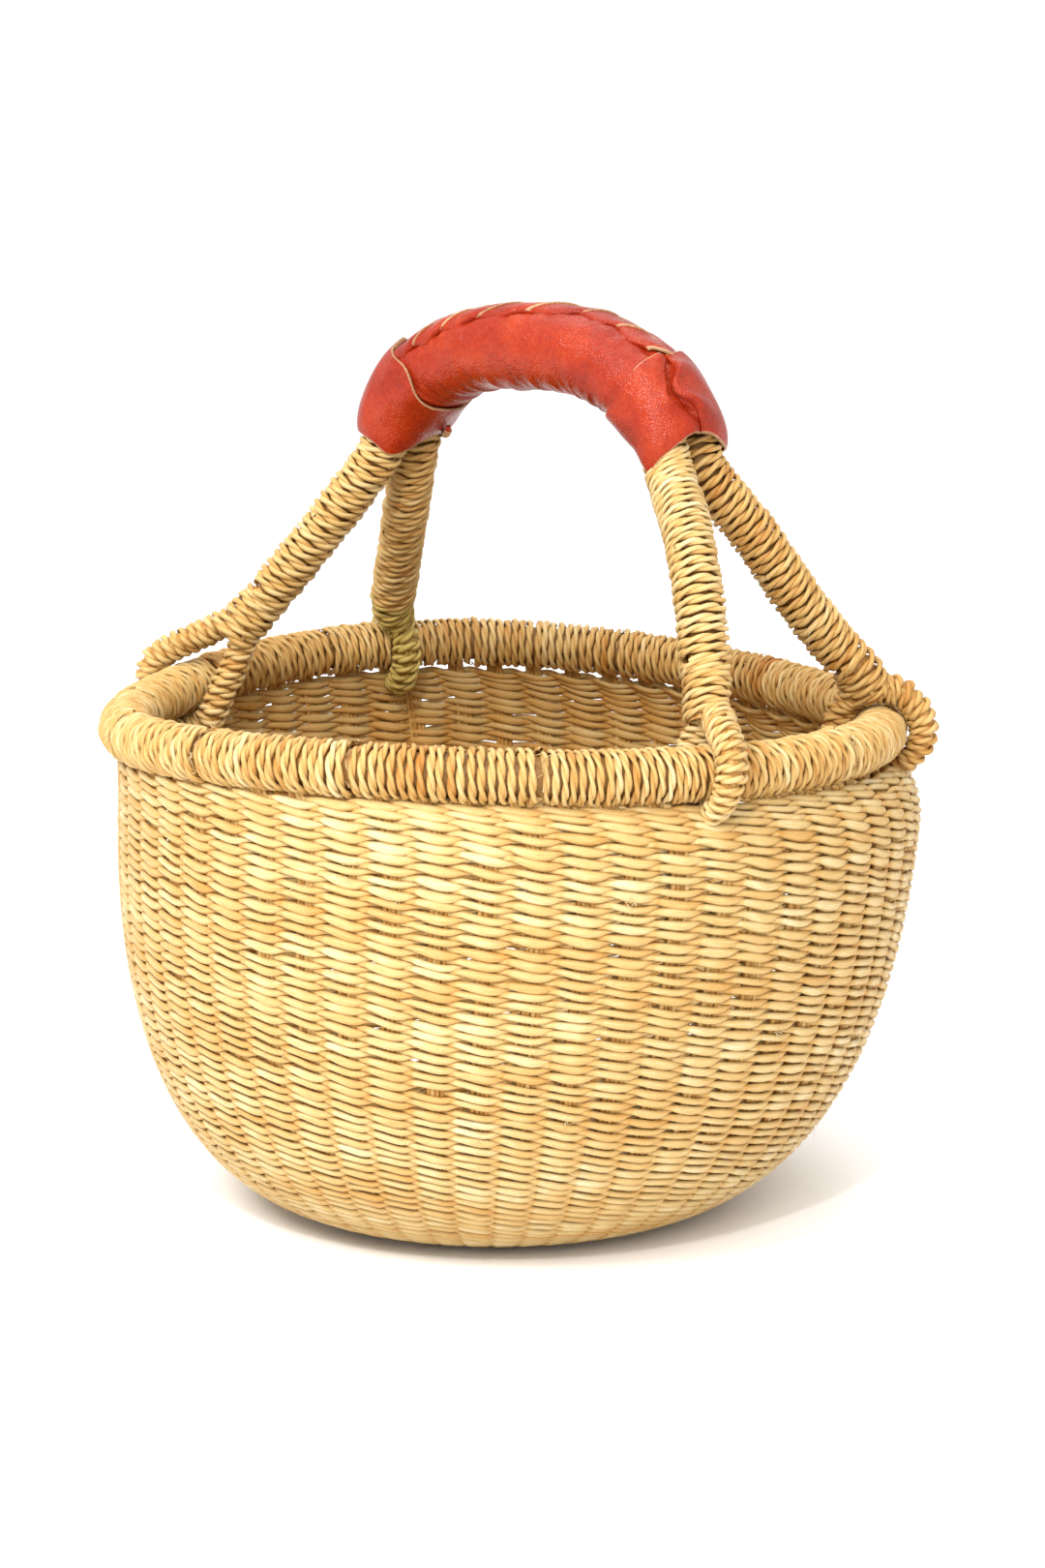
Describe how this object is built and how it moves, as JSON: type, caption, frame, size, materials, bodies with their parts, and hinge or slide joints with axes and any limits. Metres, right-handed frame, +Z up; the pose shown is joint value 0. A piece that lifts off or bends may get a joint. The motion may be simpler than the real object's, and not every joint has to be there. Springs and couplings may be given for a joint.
{
  "type": "woven market basket",
  "caption": "Round bowl-shaped basket twined from straw, with a cord-wrapped rim and a fixed arched carrying handle gripped in leather.",
  "frame": {"origin": "middle of the bounding box's bottom, on the floor under the basket", "axes": "+Z up; the handle's arch runs along X; +Y is the back of the basket"},
  "size_m": [0.2919, 0.285, 0.3169],
  "materials": {
    "weave": "twined golden straw, satin",
    "stakes": "bundled straw, matte",
    "straw_core": "bundled straw, matte",
    "rim_cord": "two-ply twisted straw cord, satin",
    "loop_cord": "coarse two-ply straw cord, satin",
    "leg_cord": "two-ply twisted straw cord, satin",
    "padding": "packed straw, matte",
    "red_leather": "smooth orange-red goat leather, semi-gloss",
    "seam_leather": "cut edge of tan leather, matte"
  },
  "bodies": {
    "root": {"base_weft_outer": "weave", "base_weft_inner": "weave", "side_weft_outer": "weave", "side_weft_inner": "weave", "stake_cage": "stakes", "rim_core": "straw_core", "rim_wrap_01": "rim_cord", "rim_wrap_02": "rim_cord", "rim_wrap_03": "rim_cord", "rim_wrap_04": "rim_cord", "rim_wrap_05": "rim_cord", "rim_wrap_06": "rim_cord", "rim_wrap_07": "rim_cord", "rim_wrap_08": "rim_cord", "rim_wrap_09": "rim_cord", "rim_wrap_10": "rim_cord", "rim_wrap_11": "rim_cord", "rim_wrap_12": "rim_cord", "rim_wrap_13": "rim_cord", "rim_wrap_14": "rim_cord", "loop_front_left": "loop_cord", "loop_back_left": "loop_cord", "loop_front_right": "loop_cord", "loop_back_right": "loop_cord", "leg_wrap_front_left_lower": "leg_cord", "leg_wrap_front_left_upper": "leg_cord", "leg_wrap_back_left_lower": "leg_cord", "leg_wrap_back_left_upper": "leg_cord", "leg_wrap_front_right_lower": "leg_cord", "leg_wrap_front_right_upper": "leg_cord", "leg_wrap_back_right_lower": "leg_cord", "leg_wrap_back_right_upper": "leg_cord", "hoop_core_front": "straw_core", "hoop_core_back": "straw_core", "grip_padding": "padding", "grip_sleeve": "red_leather", "cuff_left": "red_leather", "cuff_right": "red_leather", "seam_lace": "seam_leather"}
  },
  "joints": []
}
